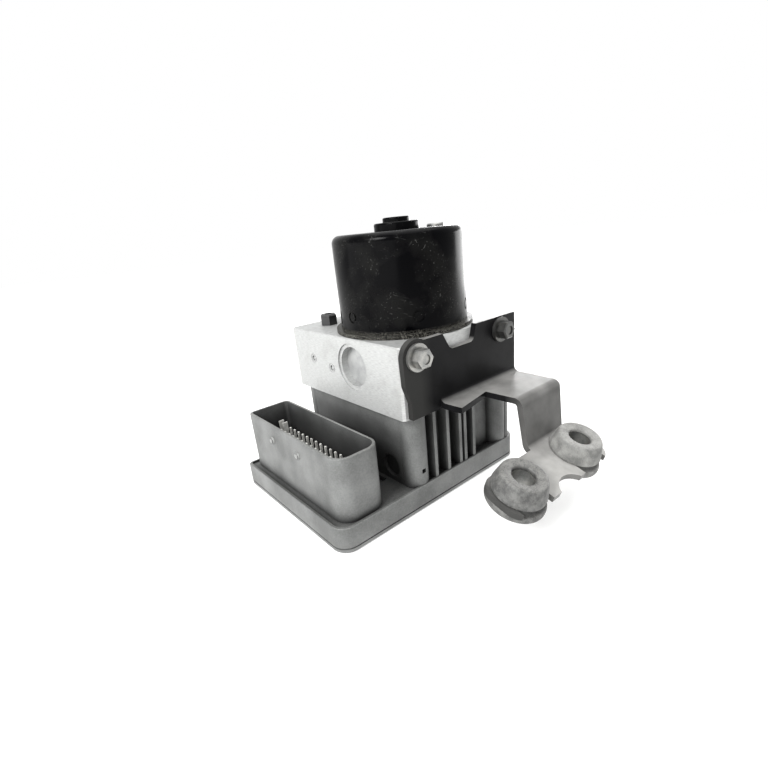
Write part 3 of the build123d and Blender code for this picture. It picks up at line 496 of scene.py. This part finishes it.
def makeKnobs():
    v = collarKnobs
    bm = bmesh.new()
    for y in v["across"]:
        centre = Matrix.Translation(((v["wall"] + v["sunk"]) * mm, y * mm, v["height"] * mm))
        bmesh.ops.create_uvsphere(bm, u_segments=v["segments"], v_segments=v["segments"] // 2,
                                  radius=v["radius"] * mm, matrix=centre)
    cut = bmesh.ops.bisect_plane(bm, geom=bm.verts[:] + bm.edges[:] + bm.faces[:], dist=v["weld"] * mm,
                                 plane_co=((v["wall"] + v["cutDepth"]) * mm, 0, 0), plane_no=(1, 0, 0),
                                 clear_outer=True)
    rim = [edge for edge in cut["geom_cut"] if isinstance(edge, bmesh.types.BMEdge)]
    bmesh.ops.holes_fill(bm, edges=rim, sides=0)
    bmesh.ops.remove_doubles(bm, verts=bm.verts, dist=v["weld"] * mm)
    bmesh.ops.recalc_face_normals(bm, faces=bm.faces)
    for face in bm.faces:
        face.smooth = len(face.verts) < 5  # all but the flat backs
    piece = linkPiece("collar_knobs", bm, palerKnobPlastic)
    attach(piece, "unit")


makeKnobs()
print("collar knobs made")

# Round-wire coil springs behind the pistons, each starting off its seat
pumpCoil = {"length": 6.7, "start": 0.4, "radius": 3.0, "wire": 0.3, "turns": 4, "travel": 2.0}
storeCoil = {"length": 10.7, "start": 0.6, "radius": 6.0, "wire": 0.45, "turns": 3, "travel": 4.0}
coilFacets = {"alongTurn": 24, "aroundWire": 8}
coilSprings = {
    "pump_spring_left": {
        **pumpCoil, "joint": "pump_left_slide", "seat": (-15.0, -11.0, 72.0), "axis": (1, 0, 0)},
    "pump_spring_right": {
        **pumpCoil, "joint": "pump_right_slide", "seat": (46.0, -11.0, 72.0), "axis": (-1, 0, 0)},
    "accumulator_spring_left": {
        **storeCoil, "joint": "accumulator_left_slide", "seat": (5.0, 28.0, 53.5), "axis": (0, 0, 1)},
    "accumulator_spring_right": {
        **storeCoil, "joint": "accumulator_right_slide", "seat": (35.0, 28.0, 53.5), "axis": (0, 0, 1)},
}


def windSpring(node, v):
    seat = [c * mm for c in v["seat"]]
    steps = v["turns"] * coilFacets["alongTurn"]
    bm = bmesh.new()
    upright = (Matrix.Translation((v["radius"] * mm, 0, v["start"] * mm))
               @ Matrix.Rotation(math.pi / 2, 4, "X"))
    bmesh.ops.create_circle(bm, segments=coilFacets["aroundWire"], radius=v["wire"] * mm, cap_ends=False,
                            matrix=upright)
    wire = bm.edges[:]
    end = bmesh.ops.spin(bm, geom=bm.verts[:] + wire, cent=(0, 0, 0), axis=(0, 0, 1),
                         dvec=(0, 0, v["length"] / steps * mm), angle=math.tau * v["turns"],
                         steps=steps)["geom_last"]
    bmesh.ops.contextual_create(bm, geom=wire)
    bmesh.ops.contextual_create(bm, geom=[part for part in end if isinstance(part, bmesh.types.BMEdge)])
    bmesh.ops.recalc_face_normals(bm, faces=bm.faces)
    bmesh.ops.transform(bm, matrix=Matrix.Translation(seat) @ turnUpTo(v["axis"]), verts=bm.verts)
    for face in bm.faces:
        face.smooth = len(face.verts) == 4  # all but the wire's two ends
    piece = linkPiece("coil_" + node, bm, steel)
    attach(piece, "unit")
    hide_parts(node)
    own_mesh(piece)


for node, values in coilSprings.items():
    windSpring(node, values)
print("springs wound")

# Studio, in metres and watts: white paper that glows faintly under the unit, a broad light from the left,
# a long low one beside it, one above and one behind
studio = {
    "floorSize": 8.0, "floorColour": "CECECD", "floorRoughness": 0.9, "floorGlow": 0.42,
    "worldColour": "FFFFFF", "worldStrength": 1.0,
    "key": {"place": (-0.85, -0.18, 0.75), "aim": (0, 0, 0.06), "size": (0.35, 0.35), "power": 14.0},
    "tall": {"place": (-0.75, 0.0, 0.08), "aim": (0.0155, -0.011, 0.1), "size": (1.5, 0.35), "power": 3.6},
    "top": {"place": (0.1, 0.05, 1.0), "aim": (0, 0, 0.06), "size": (0.9, 0.9), "power": 6.0},
    "back": {"place": (0.79, 0.14, 0.12), "aim": (0.0155, -0.011, 0.12), "size": (1.0, 0.4), "power": 12.0},
}


def makeFloor():
    v = studio
    paper, tree, shader, place = startMaterial("studio_paper", {
        "Base Color": linearHex(v["floorColour"]), "Roughness": v["floorRoughness"],
        "Specular IOR Level": 0.0, "Emission Color": (1, 1, 1, 1), "Emission Strength": v["floorGlow"]})
    bm = bmesh.new()
    bmesh.ops.create_grid(bm, x_segments=1, y_segments=1, size=v["floorSize"] / 2)
    linkPiece("studio_floor", bm, paper)


def softLight(name):
    v = studio[name]
    data = bpy.data.lights.new(name + "_light", "AREA")
    data.shape = "RECTANGLE"
    data.size, data.size_y = v["size"]
    data.energy = v["power"]
    lamp = bpy.data.objects.new(name + "_light", data)
    lamp.location = v["place"]
    lamp.rotation_euler = (Vector(v["aim"]) - Vector(v["place"])).to_track_quat("-Z", "Y").to_euler()
    bpy.context.scene.collection.objects.link(lamp)


makeFloor()
for name in ("key", "tall", "top", "back"):
    softLight(name)
world = bpy.data.worlds.new("bright_room")
world.use_nodes = True
room = world.node_tree.nodes["Background"]
room.inputs["Color"].default_value = linearHex(studio["worldColour"])
room.inputs["Strength"].default_value = studio["worldStrength"]
bpy.context.scene.world = world
bpy.context.scene.view_settings.view_transform = "Standard"

# The photograph's camera, place in metres
cameraPose = {
    "lens": 20.914, "sensor": 36.0, "nearest": 0.005, "place": (-0.14663, -0.19225, 0.13701),
    "right": (0.75969, -0.64346, -0.09392), "up": (0.27953, 0.19274, 0.94059),
    "back": (-0.58713, -0.74082, 0.32629),
}
cameraData = bpy.data.cameras.new("photo_camera")
cameraData.lens = cameraPose["lens"]
cameraData.sensor_width = cameraPose["sensor"]
cameraData.clip_start = cameraPose["nearest"]
camera = bpy.data.objects.new("photo_camera", cameraData)
turn = Matrix((cameraPose["right"], cameraPose["up"], cameraPose["back"])).transposed()
camera.matrix_world = Matrix.Translation(cameraPose["place"]) @ turn.to_4x4()
bpy.context.scene.collection.objects.link(camera)
bpy.context.scene.camera = camera
print("studio and camera set")
